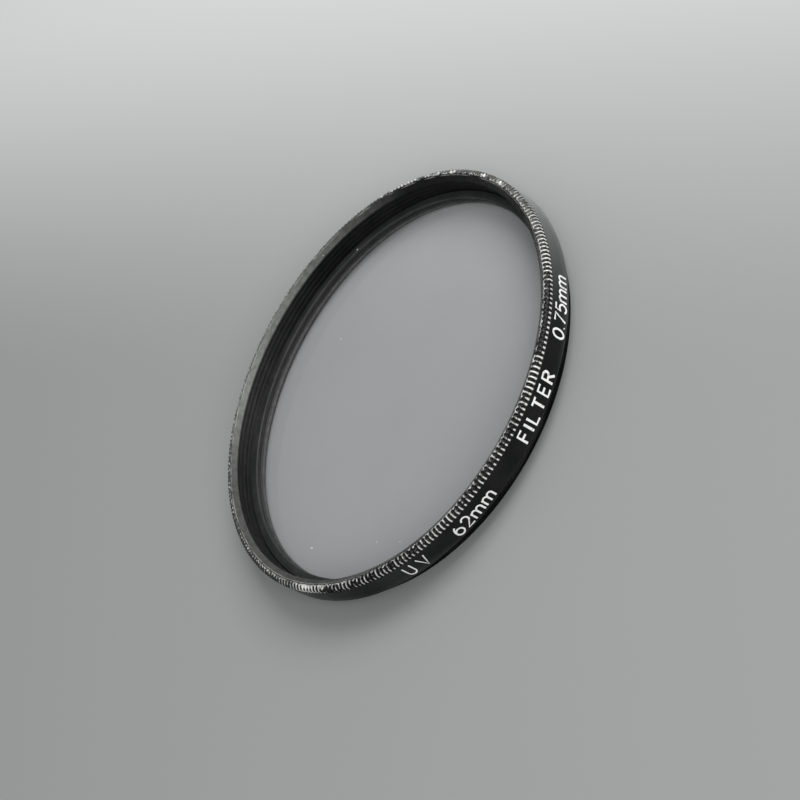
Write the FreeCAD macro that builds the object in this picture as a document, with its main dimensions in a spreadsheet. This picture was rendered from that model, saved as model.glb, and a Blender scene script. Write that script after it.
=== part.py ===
"""Screw-in ultraviolet filter for a camera lens, lying flat on its male thread.

Three pieces: a turned frame ring with a straight knurl round its front corner, a disc of glass
that drops in from the front onto a lip, and a thin retaining ring that holds the glass down.
Lengths are in millimetres. The axis of the ring is Z, z = 0 is its rear end and +Z is the front.
The fine helical threads are plain cylinders here, at the crest of each thread.
"""
import FreeCAD, Part
import os
import re
import Sketcher

# name, value, what it is; widths and walls are radial
SIZES = [
    ("male_thread_radius", 31.0, "crest of the M62 x 0.75 thread at the rear"),
    ("male_thread_length", 2.3, "rear end to the shoulder of the band"),
    ("male_thread_chamfer", 0.3, "lead-in at the rear end"),
    ("rear_relief_depth", 0.3, "shallow groove between the male thread and the shoulder"),
    ("rear_relief_width", 0.4, "along the axis"),
    ("shoulder_width", 1.45, "from the male thread out to the smooth printed band"),
    ("band_height", 3.15, "shoulder to the start of the knurl"),
    ("band_bevel", 0.12, "edge of the band at the shoulder"),
    ("knurl_height", 0.95, "start of the knurl to the front face"),
    ("knurl_count", 280, "grooves round the ring"),
    ("knurl_depth", 0.24, "radial depth of a groove"),
    ("knurl_half_width", 0.22, "half the width of a groove at the crests"),
    ("knurl_runout", 0.2, "length over which a groove fades into the band"),
    ("rim_bevel_width", 0.55, "radial width of the bevel outside the front face"),
    ("rim_bevel_height", 0.45, "along the axis"),
    ("mouth_width", 0.6, "lead-in of the front thread, from its crest to the front face"),
    ("mouth_depth", 0.6, "along the axis"),
    ("thread_depth", 0.4, "root to crest of the M62 x 0.75 thread at the front"),
    ("undercut_margin", 0.35, "height of the undercut above the retaining ring"),
    ("pocket_wall", 1.0, "metal between the male thread and the pocket of the glass"),
    ("lip_width", 0.6, "from the pocket in to the clear opening"),
    ("lip_height", 0.45, "thickness of the lip below the glass"),
    ("recess_height", 0.55, "conical recess from the rear end to the lip"),
    ("recess_flare", 0.55, "how far the recess opens, radially"),
    ("glass_thickness", 1.6, ""),
    ("glass_bevel", 0.12, "ground edges of the glass"),
    ("glass_clearance", 0.05, "radial, glass in its pocket"),
    ("glass_stand", 0.05, "height of the glass above the edge of its pocket"),
    ("retainer_thickness", 0.35, ""),
    ("retainer_bevel", 0.1, "inner edge of the retaining ring, towards the front"),
    ("retainer_clearance", 0.05, "radial, retaining ring dropped in through the front thread"),
    ("cut_overrun", 0.1, "how far a groove cutter reaches past the metal"),
]

# radii from the Z axis; the root of the front thread is as far out as the crest of the male one
BAND = "male_thread_radius + shoulder_width"
FRONT_THREAD = "male_thread_radius - thread_depth"
POCKET = "male_thread_radius - pocket_wall"
OPENING = f"{POCKET} - lip_width"

# heights above the rear end
KNURL_START = "male_thread_length + band_height"
FRONT = f"{KNURL_START} + knurl_height"
LIP_TOP = "recess_height + lip_height"
GLASS_TOP = f"{LIP_TOP} + glass_thickness"
RETAINER_TOP = f"{GLASS_TOP} + retainer_thickness"


def make_sheet(doc):
    sheet = doc.addObject("Spreadsheet::Sheet", "sizes")
    for row, (name, size, note) in enumerate(SIZES, start=1):
        sheet.set(f"A{row}", name)
        sheet.set(f"B{row}", str(size))
        sheet.setAlias(f"B{row}", name)
        sheet.set(f"C{row}", note)
    doc.recompute()


def bound(formula):
    """Point every size named in a formula at its cell in the sheet."""
    return re.sub(r"[a-z_]+", lambda name: f"sizes.{name.group()}", formula)


def draw_outline(sketch, corners):
    """Draw a closed outline whose corners are pairs of formulas."""
    sheet = sketch.Document.getObject("sizes")
    places = [[float(sheet.evalExpression(bound(size))) for size in corner] for corner in corners]
    for index, (x, y) in enumerate(places):
        next_x, next_y = places[(index + 1) % len(places)]
        line = Part.LineSegment(FreeCAD.Vector(x, y, 0), FreeCAD.Vector(next_x, next_y, 0))
        sketch.addGeometry(line, False)
    for index, corner in enumerate(corners):
        before = (index - 1) % len(corners)
        sketch.addConstraint(Sketcher.Constraint("Coincident", before, 2, index, 1))
        for kind, formula, place in zip(("DistanceX", "DistanceY"), corner, places[index]):
            if formula == "0":
                axis = -1 if kind == "DistanceY" else -2
                sketch.addConstraint(Sketcher.Constraint("PointOnObject", index, 1, axis))
                continue
            constraint = Sketcher.Constraint(kind, -1, 1, index, 1, place)
            number = sketch.addConstraint(constraint)
            sketch.setExpression(f"Constraints[{number}]", bound(formula))


def add_sketch(body, name, role, corners):
    sketch = body.newObject("Sketcher::SketchObject", name)
    plane = next(item for item in body.Origin.OriginFeatures if item.Role == role)
    sketch.AttachmentSupport = (plane, [""])
    sketch.MapMode = "FlatFace"
    draw_outline(sketch, corners)
    return sketch


def add_turned_body(doc, name, corners, height):
    """Make a body by turning an outline of radius and height pairs about Z."""
    body = doc.addObject("PartDesign::Body", name)
    body.Label = name
    section = add_sketch(body, f"{name}_section", "XZ_Plane", corners)
    turned = body.newObject("PartDesign::Revolution", f"{name}_turned")
    turned.Profile = section
    turned.ReferenceAxis = (section, ["V_Axis"])
    turned.Angle = 360
    section.Visibility = False
    if height:
        body.setExpression("Placement.Base.z", bound(height))
    doc.recompute()
    return body


def add_frame_ring(doc):
    ledge = f"{GLASS_TOP} - glass_stand"
    corners = [
        (f"{OPENING} + recess_flare", "0"),
        ("male_thread_radius - male_thread_chamfer", "0"),
        ("male_thread_radius", "male_thread_chamfer"),
        ("male_thread_radius", "male_thread_length - rear_relief_width"),
        ("male_thread_radius - rear_relief_depth", "male_thread_length - rear_relief_width"),
        ("male_thread_radius - rear_relief_depth", "male_thread_length"),
        (f"{BAND} - band_bevel", "male_thread_length"),
        (BAND, "male_thread_length + band_bevel"),
        (BAND, f"{FRONT} - rim_bevel_height"),
        (f"{BAND} - rim_bevel_width", FRONT),
        (f"{FRONT_THREAD} + mouth_width", FRONT),
        (FRONT_THREAD, f"{FRONT} - mouth_depth"),
        (FRONT_THREAD, f"{RETAINER_TOP} + undercut_margin"),
        ("male_thread_radius", f"{RETAINER_TOP} + undercut_margin"),
        ("male_thread_radius", ledge),
        (POCKET, ledge),
        (POCKET, LIP_TOP),
        (OPENING, LIP_TOP),
        (OPENING, "recess_height"),
    ]
    body = add_turned_body(doc, "frame_ring", corners, None)
    knurl(doc, body)


def knurl(doc, body):
    """Cut the straight grooves, which fade into the band and follow the bevel to the front."""
    # height of each section of the cutter, and the radius of the metal's surface less the depth cut
    over = "cut_overrun"
    stations = [
        (KNURL_START, BAND),
        (f"{KNURL_START} + knurl_runout", f"{BAND} - knurl_depth"),
        (f"{FRONT} - rim_bevel_height", f"{BAND} - knurl_depth"),
        (
            f"{FRONT} + {over}",
            f"{BAND} - knurl_depth - rim_bevel_width * (1 + {over} / rim_bevel_height)",
        ),
    ]
    sections = []
    for number, (height, root) in enumerate(stations):
        flank = f"knurl_half_width * (knurl_depth + {over}) / knurl_depth"
        mouth = f"{root} + knurl_depth + {over}"
        corners = [(root, "0"), (mouth, flank), (mouth, f"-({flank})")]
        section = add_sketch(body, f"groove_{number}", "XY_Plane", corners)
        section.setExpression("AttachmentOffset.Base.z", bound(height))
        section.Visibility = False
        sections.append(section)
    doc.recompute()
    groove = body.newObject("PartDesign::SubtractiveLoft", "groove")
    groove.Profile = sections[0]
    groove.Sections = sections[1:]
    groove.Ruled = True
    doc.recompute()
    grooves = body.newObject("PartDesign::PolarPattern", "grooves")
    grooves.Originals = [groove]
    grooves.Axis = (sections[0], ["N_Axis"])
    grooves.Angle = 360
    grooves.setExpression("Occurrences", bound("knurl_count"))
    body.Tip = grooves
    doc.recompute()


def add_glass_disc(doc):
    edge = f"{POCKET} - glass_clearance"
    corners = [
        ("0", "0"),
        (f"{edge} - glass_bevel", "0"),
        (edge, "glass_bevel"),
        (edge, "glass_thickness - glass_bevel"),
        (f"{edge} - glass_bevel", "glass_thickness"),
        ("0", "glass_thickness"),
    ]
    add_turned_body(doc, "glass_disc", corners, LIP_TOP)


def add_retaining_ring(doc):
    edge = f"{FRONT_THREAD} - retainer_clearance"
    corners = [
        (OPENING, "0"),
        (edge, "0"),
        (edge, "retainer_thickness"),
        (f"{OPENING} + retainer_bevel", "retainer_thickness"),
        (OPENING, "retainer_thickness - retainer_bevel"),
    ]
    add_turned_body(doc, "retaining_ring", corners, GLASS_TOP)


def check(doc):
    for item in doc.Objects:
        if "Invalid" in item.State or "Error" in item.State:
            raise RuntimeError(f"{item.Label} did not build: {item.State}")


def export(doc):
    for body in doc.findObjects("PartDesign::Body"):
        if body.Shape.isNull() or not body.Shape.isValid():
            raise RuntimeError(f"{body.Label} has no sound shape")
        body.Shape.exportStep(f"parts/{body.Label}.step")


os.makedirs("parts", exist_ok=True)
document = FreeCAD.newDocument("ultraviolet_filter")
make_sheet(document)
add_frame_ring(document)
add_glass_disc(document)
add_retaining_ring(document)
document.recompute()
check(document)
export(document)
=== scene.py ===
"""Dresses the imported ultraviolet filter: a finely cut frame ring, its retaining ring and glass."""
import math

import bmesh
import bpy
import numpy as np
from mathutils import Matrix, Vector


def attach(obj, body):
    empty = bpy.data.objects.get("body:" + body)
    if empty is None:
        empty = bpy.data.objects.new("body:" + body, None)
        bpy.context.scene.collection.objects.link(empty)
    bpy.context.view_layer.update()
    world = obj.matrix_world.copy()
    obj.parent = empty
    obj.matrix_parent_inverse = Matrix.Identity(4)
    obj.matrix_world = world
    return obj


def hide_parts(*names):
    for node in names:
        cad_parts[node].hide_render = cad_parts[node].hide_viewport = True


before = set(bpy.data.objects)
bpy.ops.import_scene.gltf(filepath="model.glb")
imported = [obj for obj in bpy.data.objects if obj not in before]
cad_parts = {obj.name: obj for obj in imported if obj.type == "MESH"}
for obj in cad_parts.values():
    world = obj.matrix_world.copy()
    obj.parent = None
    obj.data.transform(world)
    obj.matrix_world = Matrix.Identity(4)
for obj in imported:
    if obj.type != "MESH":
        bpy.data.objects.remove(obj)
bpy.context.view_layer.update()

MM = 0.001
TURN = 2 * math.pi

# The part, in millimetres: radii from the Z axis and heights above the rear end
FRONT = 6.4
BEVEL_START = 5.95
FRONT_THREAD_TOP = 5.8
KNURL_START = 5.45
UNDERCUT_TOP = 3.3
RETAINER_TOP = 2.95
GLASS_TOP = 2.6
LEDGE = 2.55
SHOULDER = 2.3
RELIEF_START = 1.9
GLASS_BOTTOM = 1.0
RECESS_TOP = 0.55
BAND_RADIUS = 32.44
RIM_RADIUS = 31.9
MOUTH_RADIUS = 31.37
THREAD_MAJOR = 31.0
RELIEF_RADIUS = 30.7
THREAD_MINOR = 30.6
RETAINER_RADIUS = 30.55
POCKET_RADIUS = 30.0
GLASS_RADIUS = 29.95
RECESS_RADIUS = 29.95
LIP_RADIUS = 29.4

# Other sizes in millimetres; edges are rounded a little, and SKIN keeps the surface in the solid
BAND_BEVEL = 0.12
GLASS_BEVEL = 0.12
REAR_CHAMFER = 0.3
THREAD_PITCH = 0.75
REAR_THREAD_DEPTH = 0.3
FRONT_THREAD_DEPTH = 0.11
THREAD_FADE = 0.25
GROOVE_DEPTH = 0.24
GROOVE_HALF_WIDTH = 0.26
GROOVE_RUNOUT = 0.32
RIM_BULGE = 0.1
ROUND = 0.03
SMALL_ROUND = 0.02
SKIN = 0.01

# Grooves of the knurl, and points round a plain ring and round one that goes through the grooves
TEETH = 280
COARSE = TEETH
FINE = COARSE * 12

# Height of the foot of the print, and how far its round strokes are flattened onto the band
PRINT_FOOT = 2.75
PAINT_RELIEF = 0.07

# Half the width of a groove between two turns of a thread, as a share of the pitch
THREAD_FLANK = 0.42

# Depth of a groove down to which its crest is rubbed, and how much deeper where it is worn most, which is
# also where a highlight is painted
CREST_REACH = 0.04
WORN_REACH = 0.05

# Places round a ring where a fleck may be
FLECK_COUNT = 520

# Values kept at the points of a skin: crests of the knurl and how worn they are, with painted
# highlights; bare flecks, with painted highlights on edges; dull scuffs, with painted reflection on
# the far rim; the dull inner walls; and how strongly the outside reflects, a painted sheen
KEYS = ("crest", "wear", "fleck", "scuff", "inside", "polish")

# How these change round the ring: bearings in degrees and values. The lead-in has a share of the
# scuffs and painted reflection of the front face, and speckles and chips are the chance of a fleck
# Bare crests by bearing: real wear, and painted highlights where the crests show brightest
BARREL_WEAR = [(-125, 0.3), (-97, 0.5), (-92, 1.0), (-87, 0.9), (-81, 0.35), (-70, 0.65), (-55, 0.7),
               (-35, 0.85), (-12, 0.9), (-6, 1.0), (12, 1.0), (20, 0.85), (30, 1.0), (60, 0.8),
               (95, 0.6), (125, 0.3)]
BEVEL_WEAR = [(-125, 0.3), (-97, 0.5), (-92, 0.95), (-87, 0.9), (-82, 0.4), (-72, 0.65), (-60, 0.5),
              (-40, 0.6), (-15, 0.4), (0, 0.7), (8, 0.3), (20, 0.3), (30, 0.7), (48, 0.6), (70, 0.4),
              (105, 0.35), (130, 0.2)]
# Grey scuffs by bearing: real scuffs, and painted reflection where the far rim shows greyest
BEVEL_SCUFF = [(-70, 0.0), (28, 0.0), (45, 0.3), (60, 0.35), (75, 0.3), (95, 0.5), (125, 0.4),
               (150, 0.45), (190, 0.4), (215, 0.2), (250, 0.2), (280, 0.05)]
FACE_SCUFF = [(-70, 0.2), (60, 0.12), (90, 0.03), (105, 0.03), (120, 0.26), (150, 0.7), (170, 0.68),
              (190, 0.6), (210, 0.36), (240, 0.36), (270, 0.25)]
CONE_SHARE = [(0, 1.0), (150, 0.9), (185, 1.3), (215, 1.0)]
WALL_SCUFF = [(100, 0.02), (140, 0.0), (160, 0.02), (170, 0.04), (190, 0.1), (210, 0.04), (280, 0.02)]
SPECKLES = [(-120, 0.3), (-85, 0.8), (-70, 0.3), (-50, 0.4), (-30, 0.8), (-10, 0.7), (0, 0.4),
            (22, 0.9), (40, 0.8), (60, 0.6), (80, 0.35), (100, 0.15), (130, 0.08)]
CHIPS = [(-97, 0.0), (-92, 0.35), (-88, 0.35), (-83, 0.0), (60, 0.0), (68, 0.1), (80, 0.2), (104, 0.3),
         (112, 0.12), (125, 0.0), (185, 0.0), (192, 0.1), (200, 0.0)]
# Painted reflection: how strongly the outside reflects at each bearing
POLISH = [(-100, 0.0), (-70, 0.1), (-50, 0.8), (-35, 1.0), (120, 1.0), (150, 0.3)]

# The lip under the glass is equally dull all round
LIP_SCUFF = 0.45

rng = np.random.default_rng(62)


def angles(count):
    return np.arange(count) * TURN / count


class Shell:
    """A closed skin made of rings of vertices about Z, with values kept for the shaders."""

    def __init__(self):
        self.rings = []
        self.points = []
        self.faces = []
        self.values = {key: [] for key in KEYS}
        self.total = 0

    def ring(self, radius, height, count=COARSE, **values):
        theta = angles(count)
        radius = np.broadcast_to(radius, count)
        height = np.broadcast_to(height, count)
        self.points.append(np.column_stack([radius * np.cos(theta), radius * np.sin(theta), height]))
        for key in KEYS:
            self.values[key].append(np.broadcast_to(values.get(key, 0.0), count))
        place = (self.total, count)
        self.total += count
        if self.rings:
            self.join(self.rings[-1], place)
        self.rings.append(place)

    def join(self, first, second):
        (a, na), (b, nb) = first, second
        if na == nb:
            for i in range(na):
                j = (i + 1) % na
                self.faces.append((a + i, a + j, b + j, b + i))
        elif na < nb:
            step = nb // na
            for i in range(na):
                far = [b + (i * step + k) % nb for k in range(step, -1, -1)]
                self.faces.append((a + i, a + (i + 1) % na, *far))
        else:
            step = na // nb
            for i in range(nb):
                near = [a + (i * step + k) % na for k in range(step + 1)]
                self.faces.append((*near, b + (i + 1) % nb, b + i))

    def close(self):
        self.join(self.rings[-1], self.rings[0])

    def build(self, name, material, smooth_angle=35):
        mesh = bpy.data.meshes.new(name)
        mesh.from_pydata((np.concatenate(self.points) * MM).tolist(), [], self.faces)
        for key, parts in self.values.items():
            layer = mesh.attributes.new(key, "FLOAT", "POINT")
            layer.data.foreach_set("value", np.concatenate(parts).astype(np.float32))
        mesh.validate()
        mesh.shade_smooth()
        mesh.set_sharp_from_angle(angle=math.radians(smooth_angle))
        return add_piece(name, mesh, material)


def add_piece(name, mesh, material):
    piece = bpy.data.objects.new(name, mesh)
    mesh.materials.append(material)
    bpy.context.scene.collection.objects.link(piece)
    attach(piece, "root")
    return piece


def smoothstep(low, high, value):
    t = np.clip((value - low) / (high - low), 0, 1)
    return t * t * (3 - 2 * t)


def around(theta, table):
    """A value that changes smoothly round the ring, from a table by bearing."""
    bearings, values = zip(*table)
    return np.interp(np.degrees(theta), bearings, values, period=360)


def flecks(theta, table, size):
    """Flecks of bare metal of about a size in degrees, strewn as a table says."""
    value = np.zeros(len(theta))
    for bearing in rng.uniform(0, TURN, FLECK_COUNT):
        half = math.radians(size * rng.uniform(0.4, 1.6))
        if rng.random() < around(bearing, table):
            off = (theta - bearing + math.pi) % TURN - math.pi
            value = np.maximum(value, rng.uniform(0.5, 1) * np.exp(-((off / half) ** 4)))
    return value


def groove_cut():
    """Radial depth of the knurl at each fine bearing, with round-bottomed grooves."""
    per_tooth = FINE // TEETH
    pitch = TURN * BAND_RADIUS / TEETH
    across = np.abs((np.arange(FINE) % per_tooth) / per_tooth - 0.5) * pitch
    depth = GROOVE_DEPTH * (1 + 0.08 * rng.standard_normal(TEETH))
    profile = np.maximum(0, 1 - (across / GROOVE_HALF_WIDTH) ** 2)
    return np.repeat(depth, per_tooth) * profile


def add_knurl(shell):
    """Rings from the band to the flat front face, through the straight grooves."""
    theta = angles(FINE)
    full_cut = groove_cut()
    # Wear with painted highlights on the crests, a painted sheen by bearing, and scuffs with painted
    # reflection on the far rim
    barrel = around(theta, BARREL_WEAR)
    bevel = around(theta, BEVEL_WEAR)
    # Painted reflection: the share of gloss and coat at each bearing
    polish = around(theta, POLISH)
    dull = around(theta, BEVEL_SCUFF)
    chips = flecks(theta, CHIPS, 1.0)
    rows = []
    for t in (-0.1, 0.0, 0.1, 0.25, 0.5, 0.75, 1.0):
        share = math.sqrt(1 - (1 - max(t, 0)) ** 2)
        rows.append((BAND_RADIUS, KNURL_START + GROOVE_RUNOUT * t, share, barrel, 0.0, 0.0))
    for height in (BEVEL_START - 0.1, BEVEL_START - SKIN):
        rows.append((BAND_RADIUS, height, 1.0, barrel, 0.3, 0.0))
    for u in (0.04, 0.2, 0.4, 0.6, 0.8, 0.96):
        bulge = RIM_BULGE * 4 * u * (1 - u)
        radius = BAND_RADIUS + (RIM_RADIUS - BAND_RADIUS) * u + 0.64 * bulge
        height = BEVEL_START + (FRONT - BEVEL_START) * u + 0.5 * bulge
        radius = min(radius, BAND_RADIUS)
        height = min(height, FRONT - SKIN)
        inner_half = float(u > 0.5)
        rows.append((radius, height, 1.0, bevel, 1.0, inner_half))
    for radius, height, share, wear, scuffed, chipped in rows:
        cut = full_cut * share
        reach = CREST_REACH + WORN_REACH * smoothstep(0.88, 1.0, wear)
        crest = 1 - smoothstep(0.0, reach, cut)
        crest = crest * smoothstep(KNURL_START + 0.03, KNURL_START + 0.17, height)
        shell.ring(
            radius - cut,
            height,
            FINE,
            crest=crest,
            wear=wear,
            fleck=chipped * chips,
            scuff=scuffed * dull,
            polish=polish,
        )
    face_rings = ((0.03, 0.45, 1.0, 1.0), (0.16, 0.35, 0.85, 0.0), (0.3, 0.3, 0.6, 0.0))
    for inset, size, bright, chipped in face_rings:
        radius = RIM_RADIUS - inset - full_cut * (1 - inset)
        fleck = np.maximum(bright * flecks(theta, SPECKLES, size), chipped * chips)
        crest = (1 - smoothstep(0.0, CREST_REACH, full_cut)) * (1 - smoothstep(0.1, 0.3, inset))
        scuff = face_scuff(theta, radius)
        shell.ring(radius, FRONT, FINE, crest=crest, wear=bevel, fleck=fleck, scuff=scuff)


def face_scuff(theta, radius):
    """Dull grey scuffs on the front face, in streaks along the ring, with painted reflection where the far
    side is greyest.
    """
    streaks = sum(np.sin(k * radius * 9) * np.sin(k * 7 * theta + k * k) for k in range(1, 6))
    return around(theta, FACE_SCUFF) * (1 + 0.08 * streaks)


def thread_cut(theta, height, depth, start, end):
    """Depth of a right-handed thread below its crest, fading out at both ends."""
    phase = (height / THREAD_PITCH - theta / TURN) % 1.0
    groove = np.maximum(0, 1 - np.abs(phase - 0.5) / THREAD_FLANK)
    fade_in = smoothstep(start, start + THREAD_FADE, height)
    fade_out = 1 - smoothstep(end - THREAD_FADE, end, height)
    return depth * groove * fade_in * fade_out


def rear_end(shell):
    """Rings from the lip through the recess and along the male thread to its relief groove."""
    theta = angles(COARSE)
    for radius, height, scuff in (
        (LIP_RADIUS, RECESS_TOP + 0.05, LIP_SCUFF),
        (LIP_RADIUS + SMALL_ROUND, RECESS_TOP - 0.01, LIP_SCUFF),
        (RECESS_RADIUS - ROUND, ROUND, 0.0),
        (RECESS_RADIUS + SMALL_ROUND, 0.0, 0.0),
        (THREAD_MAJOR - REAR_CHAMFER - SMALL_ROUND, 0.0, 0.0),
        (THREAD_MAJOR - REAR_CHAMFER + SMALL_ROUND, 0.012, 0.0),
        (THREAD_MAJOR - SMALL_ROUND, REAR_CHAMFER - 0.01, 0.0),
    ):
        shell.ring(radius, height, scuff=scuff)
    for height in np.arange(REAR_CHAMFER, RELIEF_START + 0.0001, THREAD_PITCH / 10):
        cut = thread_cut(theta, height, REAR_THREAD_DEPTH, 0.2, RELIEF_START + 0.08)
        shell.ring(THREAD_MAJOR - SKIN - cut, height)


def band(shell):
    """Rings from the relief groove round the shoulder and up the smooth printed band."""
    # Painted reflection: the band's share of gloss and coat at each bearing
    polish = around(angles(COARSE), POLISH)
    for radius, height in (
        (THREAD_MAJOR - ROUND, RELIEF_START),
        (RELIEF_RADIUS + SMALL_ROUND, RELIEF_START + ROUND),
        (RELIEF_RADIUS, RELIEF_START + 0.06),
        (RELIEF_RADIUS, SHOULDER - ROUND),
        (RELIEF_RADIUS + ROUND, SHOULDER),
        (BAND_RADIUS - 0.14, SHOULDER),
        (BAND_RADIUS - 0.08, SHOULDER + 0.015),
        (BAND_RADIUS - SMALL_ROUND, SHOULDER + BAND_BEVEL / 2),
        (BAND_RADIUS, SHOULDER + BAND_BEVEL),
        (BAND_RADIUS, 3.5),
        (BAND_RADIUS, 4.5),
        (BAND_RADIUS, KNURL_START - 0.07),
    ):
        shell.ring(radius, height, polish=polish)


def mouth(shell):
    """Rings from the front face down the lead-in and the front thread to the undercut."""
    theta = angles(COARSE)
    # Painted highlight: a broken bright line along the inner edge of the mouth, partly bare specks. The
    # lead-in's grey carries the front face's painted reflection
    line = 0.4 * flecks(theta, SPECKLES, 1.5)
    cone = around(theta, FACE_SCUFF) * around(theta, CONE_SHARE)
    wall = around(theta, WALL_SCUFF)
    for radius, height, fleck in (
        (MOUTH_RADIUS + 0.13, FRONT, 0.2),
        (MOUTH_RADIUS + 0.06, FRONT, 0.0),
        (MOUTH_RADIUS + SMALL_ROUND, FRONT - 0.01, 1.0),
        (MOUTH_RADIUS - SMALL_ROUND, FRONT - 0.04, 1.0),
        (MOUTH_RADIUS - 0.06, FRONT - 0.08, 0.0),
        (THREAD_MINOR + 0.04, FRONT_THREAD_TOP + ROUND, 0.0),
    ):
        shell.ring(radius, height, fleck=fleck * line, scuff=cone)
    shell.ring(THREAD_MINOR, FRONT_THREAD_TOP - 0.01, inside=1.0, scuff=0.7 * cone)
    for height in np.arange(FRONT_THREAD_TOP - 0.04, UNDERCUT_TOP + 0.02, -THREAD_PITCH / 10):
        cut = thread_cut(theta, height, FRONT_THREAD_DEPTH, UNDERCUT_TOP - 0.05, FRONT_THREAD_TOP + 0.15)
        scuff = wall + (cone / 2 - wall) * smoothstep(FRONT_THREAD_TOP - 0.35, FRONT_THREAD_TOP, height)
        shell.ring(THREAD_MINOR + SKIN + cut, height, inside=1.0, scuff=scuff)
    for radius, height in (
        (THREAD_MINOR + 0.02, UNDERCUT_TOP + 0.01),
        (THREAD_MINOR + 0.05, UNDERCUT_TOP),
        (THREAD_MAJOR - SMALL_ROUND, UNDERCUT_TOP),
        (THREAD_MAJOR, UNDERCUT_TOP - ROUND),
        (THREAD_MAJOR, LEDGE + ROUND),
        (THREAD_MAJOR - SMALL_ROUND, LEDGE),
        (POCKET_RADIUS, LEDGE),
        (POCKET_RADIUS, GLASS_BOTTOM),
    ):
        shell.ring(radius, height, inside=1.0, scuff=2 * wall)
    shell.ring(LIP_RADIUS + SMALL_ROUND, GLASS_BOTTOM, scuff=LIP_SCUFF)
    shell.ring(LIP_RADIUS, GLASS_BOTTOM - ROUND, scuff=LIP_SCUFF)


def frame_ring(material):
    """The whole frame ring: one closed skin."""
    shell = Shell()
    rear_end(shell)
    band(shell)
    add_knurl(shell)
    mouth(shell)
    shell.close()
    piece = shell.build("frame_ring_detail", material)
    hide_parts("frame_ring")


def retaining_ring(material):
    """The plain ring on the glass, a hair clear of it, with brighter edges that are painted highlights."""
    shell = Shell()
    # The last value of each row is a painted highlight on the edges
    for radius, height, fleck in (
        (LIP_RADIUS, GLASS_TOP + 0.005, 0.0),
        (RETAINER_RADIUS, GLASS_TOP + 0.005, 0.0),
        (RETAINER_RADIUS, RETAINER_TOP - 0.05, 0.0),
        (RETAINER_RADIUS - SMALL_ROUND, RETAINER_TOP - 0.01, 0.7),
        (RETAINER_RADIUS - 0.05, RETAINER_TOP, 0.7),
        (RETAINER_RADIUS - 0.1, RETAINER_TOP, 0.0),
        (LIP_RADIUS + 0.16, RETAINER_TOP, 0.0),
        (LIP_RADIUS + 0.11, RETAINER_TOP - 0.01, 0.2),
        (LIP_RADIUS + 0.01, RETAINER_TOP - 0.1, 0.2),
        (LIP_RADIUS, RETAINER_TOP - 0.13, 0.0),
    ):
        shell.ring(radius, height, fleck=fleck)
    shell.close()
    piece = shell.build("retaining_ring_detail", material)
    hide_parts("retaining_ring")


def glass_disc(material):
    """The glass, ground dull round its edge and bevels, a hair clear of the lip."""
    shell = Shell()
    flat = GLASS_RADIUS - GLASS_BEVEL
    for radius, height, ground in (
        (flat - ROUND, GLASS_BOTTOM + 0.001, 0.0),
        (flat, GLASS_BOTTOM + 0.001, 1.0),
        (GLASS_RADIUS, GLASS_BOTTOM + GLASS_BEVEL, 1.0),
        (GLASS_RADIUS, GLASS_TOP - GLASS_BEVEL, 1.0),
        (flat, GLASS_TOP - 0.001, 1.0),
        (flat - ROUND, GLASS_TOP - 0.001, 0.0),
    ):
        shell.ring(radius, height, inside=ground)
    first, last = shell.rings[0][0], shell.rings[-1][0]
    shell.faces.append(tuple(first + i for i in reversed(range(COARSE))))
    shell.faces.append(tuple(last + i for i in range(COARSE)))
    piece = shell.build("glass_disc_detail", material, 20)
    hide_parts("glass_disc")


def dust(material):
    """A few specks of dust: bearing, radius, height of what each lies on, and size.

    They lie on the glass, one on the retaining ring and the last on the lead-in.
    """
    specks = [
        (155.5, 18.1, GLASS_TOP, 0.13),
        (-104.6, 26.1, GLASS_TOP, 0.17),
        (-72.7, 24.6, GLASS_TOP, 0.11),
        (-62.4, 26.2, GLASS_TOP, 0.10),
        (131.1, 29.65, RETAINER_TOP, 0.14),
        (60.0, 12.0, GLASS_TOP, 0.05),
        (-150.0, 20.0, GLASS_TOP, 0.06),
        (100.0, 24.0, GLASS_TOP, 0.05),
        (139.2, 30.82, 5.95, 0.12),
    ]
    grains = bmesh.new()
    for bearing, radius, height, size in specks:
        theta = math.radians(bearing)
        made = bmesh.ops.create_icosphere(grains, subdivisions=2, radius=size * MM)["verts"]
        lift = height + 0.35 * size
        middle = Vector((radius * math.cos(theta), radius * math.sin(theta), lift)) * MM
        stretch = Vector((rng.uniform(0.7, 1.4), rng.uniform(0.5, 1.0), 0.45))
        for vertex in made:
            vertex.co = vertex.co * stretch * rng.uniform(0.85, 1.15) + middle
    mesh = bpy.data.meshes.new("dust")
    grains.to_mesh(mesh)
    grains.free()
    add_piece("dust", mesh, material)


def arc(cx, cy, rx, ry, start, end, steps=14):
    """Points along part of an ellipse, between two angles in degrees."""
    turns = [math.radians(start + (end - start) * i / steps) for i in range(steps + 1)]
    return [(cx + rx * math.cos(turn), cy + ry * math.sin(turn)) for turn in turns]


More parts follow.
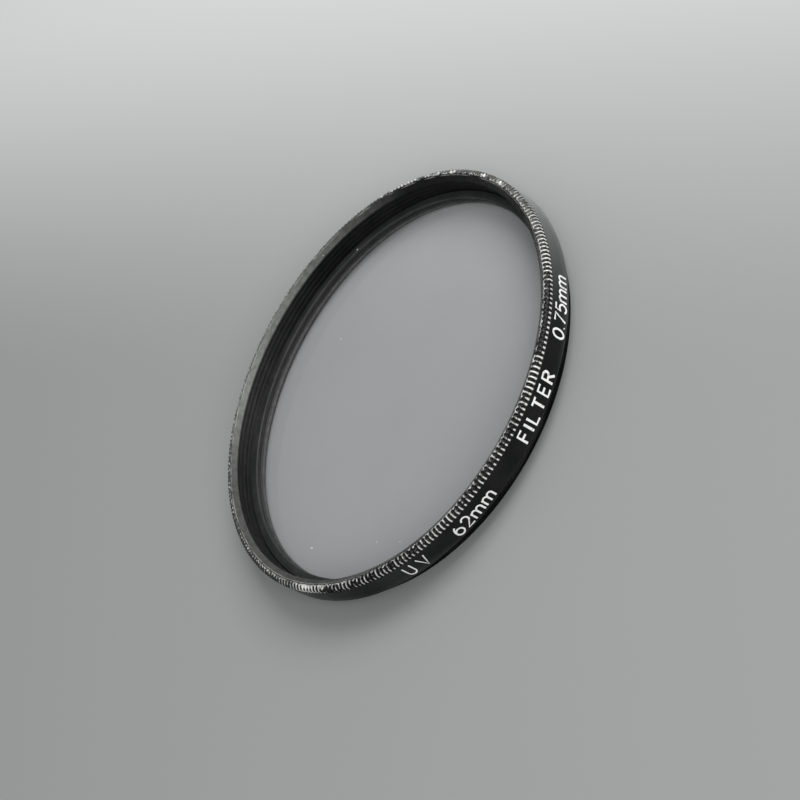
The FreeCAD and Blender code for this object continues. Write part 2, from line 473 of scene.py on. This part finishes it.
# The width of each glyph and its strokes, in units of the cap height: x to the right, y up
GLYPHS = {
    "U": (0.62, [[(0.0, 1.0), (0.0, 0.3)] + arc(0.31, 0.3, 0.31, 0.3, 180, 360) + [(0.62, 1.0)]]),
    "V": (0.72, [[(0.0, 1.0), (0.36, 0.0), (0.72, 1.0)]]),
    "F": (0.5, [[(0.5, 1.0), (0.0, 1.0), (0.0, 0.0)], [(0.0, 0.52), (0.44, 0.52)]]),
    "I": (0.0, [[(0.0, 1.0), (0.0, 0.0)]]),
    "L": (0.5, [[(0.0, 1.0), (0.0, 0.0), (0.5, 0.0)]]),
    "T": (0.62, [[(0.0, 1.0), (0.62, 1.0)], [(0.31, 1.0), (0.31, 0.0)]]),
    "E": (0.5, [[(0.5, 1.0), (0.0, 1.0), (0.0, 0.0), (0.5, 0.0)], [(0.0, 0.52), (0.44, 0.52)]]),
    "R": (
        0.55,
        [
            [(0.0, 0.0), (0.0, 1.0), (0.3, 1.0)] + arc(0.3, 0.75, 0.25, 0.25, 90, -90) + [(0.0, 0.5)],
            [(0.28, 0.5), (0.56, 0.0)],
        ],
    ),
    "m": (
        0.9,
        [
            [(0.0, 0.68), (0.0, 0.0)],
            [(0.0, 0.4)] + arc(0.22, 0.44, 0.22, 0.24, 180, 0) + [(0.44, 0.0)],
            [(0.45, 0.4)] + arc(0.67, 0.44, 0.22, 0.24, 180, 0) + [(0.89, 0.0)],
        ],
    ),
    "0": (0.6, [arc(0.3, 0.5, 0.3, 0.5, 90, 450, 32)]),
    "2": (0.56, [arc(0.28, 0.7, 0.28, 0.3, 165, -35) + [(0.0, 0.0), (0.58, 0.0)]]),
    "5": (
        0.58,
        [[(0.52, 1.0), (0.1, 1.0), (0.04, 0.55)] + arc(0.28, 0.32, 0.3, 0.32, 130, -145, 20)],
    ),
    "6": (
        0.62,
        [arc(0.31, 0.31, 0.31, 0.31, 0, 360, 24), arc(0.62, 0.4, 0.61, 0.62, 185, 125, 10)],
    ),
    "7": (0.56, [[(0.0, 1.0), (0.56, 1.0), (0.16, 0.0)]]),
    ".": (0.04, [[(0.0, 0.02), (0.04, 0.08)]]),
}


def lettering(name, text, start, end, cap, stroke, material):
    """Write text on the band between two bearings, with a cap height and a width of its strokes."""
    curve = bpy.data.curves.new(name, "CURVE")
    curve.dimensions = "3D"
    curve.bevel_depth = stroke / 2
    curve.bevel_resolution = 3
    curve.use_fill_caps = True
    width = math.radians(end - start) * BAND_RADIUS
    glyphs = [GLYPHS[letter] for letter in text]
    gap = (width - cap * sum(glyph[0] for glyph in glyphs)) / max(1, len(glyphs) - 1)
    pen = 0.0
    for advance, strokes in glyphs:
        for points in strokes:
            line = curve.splines.new("POLY")
            line.points.add(len(points) - 1)
            for point, (x, y) in zip(line.points, points):
                point.co = (pen + x * cap, y * cap, 0, 1)
        pen += advance * cap + gap
    flat = bpy.data.objects.new(name, curve)
    bpy.context.scene.collection.objects.link(flat)
    mesh = bpy.data.meshes.new_from_object(flat.evaluated_get(bpy.context.evaluated_depsgraph_get()))
    bpy.data.objects.remove(flat)
    for vertex in mesh.vertices:
        x, y, lift = vertex.co
        theta = math.radians(start) + x / BAND_RADIUS
        radius = BAND_RADIUS - 0.002 + PAINT_RELIEF * lift
        vertex.co = Vector((radius * math.cos(theta), radius * math.sin(theta), PRINT_FOOT + y)) * MM
    mesh.name = name
    mesh.shade_smooth()
    add_piece(name, mesh, material)


def new_material(name):
    material = bpy.data.materials.new(name)
    material.use_nodes = True
    tree = material.node_tree
    return material, tree.nodes, tree.links, tree.nodes["Principled BSDF"]


def noise(nodes, links, scale, detail=3.0, roughness=0.55):
    coordinates = nodes.new("ShaderNodeTexCoord")
    texture = nodes.new("ShaderNodeTexNoise")
    texture.inputs["Scale"].default_value = scale
    texture.inputs["Detail"].default_value = detail
    texture.inputs["Roughness"].default_value = roughness
    links.new(coordinates.outputs["Object"], texture.inputs["Vector"])
    return texture.outputs["Fac"]


def ramp(nodes, links, source, low, high, start=0.0, end=1.0):
    node = nodes.new("ShaderNodeMapRange")
    node.interpolation_type = "SMOOTHSTEP"
    node.inputs["From Min"].default_value = low
    node.inputs["From Max"].default_value = high
    node.inputs["To Min"].default_value = start
    node.inputs["To Max"].default_value = end
    links.new(source, node.inputs["Value"])
    return node.outputs["Result"]


def combine(nodes, links, operation, first, second):
    node = nodes.new("ShaderNodeMath")
    node.operation = operation
    node.use_clamp = True
    for socket, value in zip(node.inputs, (first, second)):
        if isinstance(value, (int, float)):
            socket.default_value = value
        else:
            links.new(value, socket)
    return node.outputs[0]


def blend(nodes, links, factor, first, second):
    node = nodes.new("ShaderNodeMix")
    node.data_type = "RGBA"
    links.new(factor, node.inputs["Factor"])
    for name, colour in (("A", first), ("B", second)):
        socket = next(s for s in node.inputs if s.name == name and s.type == "RGBA")
        if isinstance(colour, tuple):
            socket.default_value = (*colour, 1)
        else:
            links.new(colour, socket)
    return next(s for s in node.outputs if s.type == "RGBA")


def attribute(nodes, name):
    node = nodes.new("ShaderNodeAttribute")
    node.attribute_name = name
    return node.outputs["Fac"]


def bump(nodes, links, height, strength, distance, shader):
    node = nodes.new("ShaderNodeBump")
    node.inputs["Strength"].default_value = strength
    node.inputs["Distance"].default_value = distance
    links.new(height, node.inputs["Height"])
    links.new(node.outputs["Normal"], shader.inputs["Normal"])


def black_anodised():
    """Black anodised aluminium, worn to bright metal on the crests of the knurl and the edges, with
    painted highlights in that metal, painted reflection in the grey scuffs and a painted sheen.
    """
    material, nodes, links, shader = new_material("black_anodised")
    crest, wear, fleck, scuff, inside, polish = (attribute(nodes, key) for key in KEYS)
    # Bright bare metal: real wear on crests, flecks and edges, and painted highlights where they catch the
    # light
    limit = ramp(nodes, links, wear, 0, 1, 0.66, 0.26)
    over = combine(nodes, links, "SUBTRACT", noise(nodes, links, 1400, 4, 0.65), limit)
    rubbed = combine(nodes, links, "MULTIPLY", crest, ramp(nodes, links, over, 0.0, 0.12))
    rubbed = combine(nodes, links, "MULTIPLY", rubbed, ramp(nodes, links, wear, 0.1, 1, 0.35, 1.0))
    pitted = ramp(nodes, links, noise(nodes, links, 3000, 3, 0.6), 0.38, 0.5, 0.3, 1.0)
    bare = combine(nodes, links, "ADD", rubbed, combine(nodes, links, "MULTIPLY", fleck, pitted))
    cloud = ramp(nodes, links, noise(nodes, links, 300), 0.35, 0.7)
    black = blend(nodes, links, cloud, (0.0045, 0.0045, 0.005), (0.0085, 0.0085, 0.0085))
    streaks = ramp(nodes, links, noise(nodes, links, 1100, 3, 0.6), 0.35, 0.65, 0.7, 1.0)
    # Grey scuffs in streaks, with painted reflection on the far rim
    dull = combine(nodes, links, "MULTIPLY", scuff, streaks)
    worn = blend(nodes, links, dull, black, (0.25, 0.255, 0.245))
    links.new(blend(nodes, links, bare, worn, (0.96, 0.95, 0.93)), shader.inputs["Base Color"])
    links.new(combine(nodes, links, "MULTIPLY", bare, 0.35), shader.inputs["Metallic"])
    rough = ramp(nodes, links, noise(nodes, links, 900), 0.3, 0.7, 0.2, 0.3)
    rough = combine(nodes, links, "ADD", rough, combine(nodes, links, "MULTIPLY", inside, 0.35))
    rough = combine(nodes, links, "ADD", rough, combine(nodes, links, "MULTIPLY", bare, 0.15))
    links.new(rough, shader.inputs["Roughness"])
    # Painted reflection: the gloss and the grazing coat, made stronger by a high coat IOR, are scaled by a
    # share that changes with bearing
    kept = ramp(nodes, links, combine(nodes, links, "ADD", polish, inside), 0, 1, 0.2, 1.0)
    gloss = combine(nodes, links, "MULTIPLY", ramp(nodes, links, inside, 0, 1, 0.2, 0.09), kept)
    links.new(gloss, shader.inputs["Specular IOR Level"])
    facing = nodes.new("ShaderNodeLayerWeight").outputs["Facing"]
    sheen = combine(nodes, links, "MULTIPLY", ramp(nodes, links, facing, 0.34, 0.6), polish)
    links.new(sheen, shader.inputs["Coat Weight"])
    shader.inputs["Coat IOR"].default_value = 1.8
    shader.inputs["Coat Roughness"].default_value = 0.12
    bump(nodes, links, noise(nodes, links, 2500, 2), 0.1, 0.00003, shader)
    return material


def grey_anodised():
    """Dull grey anodised aluminium, painted a little brighter on its edges as a highlight."""
    material, nodes, links, shader = new_material("grey_anodised")
    cloud = ramp(nodes, links, noise(nodes, links, 500), 0.35, 0.7)
    grey = blend(nodes, links, cloud, (0.023, 0.024, 0.024), (0.035, 0.035, 0.036))
    # Painted highlight: the edges are painted a lighter grey
    bright = combine(nodes, links, "MULTIPLY", attribute(nodes, "fleck"), 0.6)
    links.new(blend(nodes, links, bright, grey, (0.14, 0.14, 0.14)), shader.inputs["Base Color"])
    rough = ramp(nodes, links, noise(nodes, links, 900), 0.3, 0.7, 0.35, 0.5)
    links.new(rough, shader.inputs["Roughness"])
    shader.inputs["Specular IOR Level"].default_value = 0.2
    return material


def clear_glass():
    """Coated clear glass that lets lamps through, with faint smears and a dull ground edge."""
    material, nodes, links, shader = new_material("clear_glass")
    smear = ramp(nodes, links, noise(nodes, links, 60, 5, 0.6), 0.4, 0.8)
    clear = blend(nodes, links, smear, (1.0, 0.99, 1.0), (0.96, 0.955, 0.96))
    ground = attribute(nodes, "inside")
    links.new(blend(nodes, links, ground, clear, (0.02, 0.02, 0.021)), shader.inputs["Base Color"])
    links.new(combine(nodes, links, "SUBTRACT", 1.0, ground), shader.inputs["Transmission Weight"])
    links.new(combine(nodes, links, "MULTIPLY", ground, 0.7), shader.inputs["Roughness"])
    shader.inputs["IOR"].default_value = 1.3
    through = nodes.new("ShaderNodeBsdfTransparent")
    through.inputs["Color"].default_value = (0.99, 0.985, 0.995, 1)
    path = nodes.new("ShaderNodeLightPath")
    mix = nodes.new("ShaderNodeMixShader")
    shadow = path.outputs["Is Shadow Ray"]
    straight = combine(nodes, links, "MAXIMUM", shadow, path.outputs["Is Diffuse Ray"])
    links.new(straight, mix.inputs["Fac"])
    links.new(shader.outputs["BSDF"], mix.inputs[1])
    links.new(through.outputs["BSDF"], mix.inputs[2])
    links.new(mix.outputs["Shader"], nodes["Material Output"].inputs["Surface"])
    return material


def white_print():
    """White paint, rubbed a little thin in places."""
    material, nodes, links, shader = new_material("white_print")
    whole = ramp(nodes, links, noise(nodes, links, 1200, 4, 0.7), 0.34, 0.44)
    links.new(blend(nodes, links, whole, (0.4, 0.4, 0.4), (0.93, 0.93, 0.92)), shader.inputs["Base Color"])
    shader.inputs["Roughness"].default_value = 0.55
    return material


def grey_dust():
    """Pale grey dust, uneven in tone."""
    material, nodes, links, shader = new_material("grey_dust")
    tone = ramp(nodes, links, noise(nodes, links, 9000), 0.35, 0.65)
    links.new(blend(nodes, links, tone, (0.5, 0.5, 0.48), (0.85, 0.85, 0.83)), shader.inputs["Base Color"])
    shader.inputs["Roughness"].default_value = 0.9
    return material


# Centre of the front face in millimetres and the direction of the axis, in camera terms: x right,
# y down, z into the picture
FACE_CENTRE = Vector((-3.34398, -3.71901, 282.31057))
FACE_NORMAL = Vector((-0.710985, -0.392501, -0.583475))


def add_camera():
    z = FACE_NORMAL.normalized()
    x = z.cross(Vector((0, 1, 0))).normalized()
    y = z.cross(x)
    origin = FACE_CENTRE - FRONT * z
    place = Vector((-origin.dot(x), -origin.dot(y), -origin.dot(z))) * MM
    right = Vector((x.x, y.x, z.x))
    up = -Vector((x.y, y.y, z.y))
    back = -Vector((x.z, y.z, z.z))
    data = bpy.data.cameras.new("camera")
    data.lens = 90
    data.sensor_width = 36
    data.clip_start = 0.01
    data.clip_end = 20
    camera = bpy.data.objects.new("camera", data)
    turn = Matrix((right, up, back)).transposed()
    camera.matrix_world = Matrix.Translation(place) @ turn.to_4x4()
    bpy.context.scene.collection.objects.link(camera)
    bpy.context.scene.camera = camera


def add_lamp(name, place, size, power):
    """A rectangular softbox that points at the middle of the part."""
    data = bpy.data.lights.new(name, "AREA")
    data.shape = "RECTANGLE"
    data.size, data.size_y = size
    data.energy = power
    lamp = bpy.data.objects.new(name, data)
    lamp.location = place
    lamp.rotation_euler = (-Vector(place)).to_track_quat("-Z", "Y").to_euler()
    bpy.context.scene.collection.objects.link(lamp)


def add_floor():
    """A plain pale floor, from mid grey under the part to a lighter grey behind it; the darker grey is
    painted shade.
    """
    mesh = bpy.data.meshes.new("floor")
    half = 3.0
    mesh.from_pydata(
        [(-half, -half, 0), (half, -half, 0), (half, half, 0), (-half, half, 0)], [], [(0, 1, 2, 3)]
    )
    floor = bpy.data.objects.new("floor", mesh)
    material, nodes, links, shader = new_material("floor")
    coordinates = nodes.new("ShaderNodeTexCoord")
    parts = nodes.new("ShaderNodeSeparateXYZ")
    links.new(coordinates.outputs["Object"], parts.inputs["Vector"])
    # Painted shade: the floor colour is darker under the part than behind it
    behind = ramp(nodes, links, parts.outputs["Y"], 0.0, 0.1)
    tones = blend(nodes, links, behind, (0.35, 0.357, 0.355), (0.76, 0.775, 0.77))
    links.new(tones, shader.inputs["Base Color"])
    shader.inputs["Roughness"].default_value = 0.6
    shader.inputs["Specular IOR Level"].default_value = 0.1
    mesh.materials.append(material)
    bpy.context.scene.collection.objects.link(floor)


def add_world():
    world = bpy.data.worlds.new("world")
    world.use_nodes = True
    background = world.node_tree.nodes["Background"]
    background.inputs["Color"].default_value = (0.92, 0.95, 0.94, 1)
    background.inputs["Strength"].default_value = 0.38
    bpy.context.scene.world = world


frame_ring(black_anodised())
retaining_ring(grey_anodised())
glass_disc(clear_glass())
dust(grey_dust())
white = white_print()
lettering("mark_kind", "UV", -58.5, -51.5, 2.0, 0.24, white)
lettering("mark_size", "62mm", -42.1, -29.0, 1.95, 0.28, white)
lettering("mark_word", "FILTER", -15.3, 1.5, 2.0, 0.37, white)
lettering("mark_pitch", "0.75mm", 10.5, 27.5, 2.0, 0.32, white)

add_camera()
add_floor()
add_world()
add_lamp("key", (0.3, 0.5, 0.6), (0.5, 0.5), 4.2)
add_lamp("front", (0.78, -0.22, 0.45), (0.5, 0.4), 4.4)
bpy.context.scene.view_settings.view_transform = "Standard"
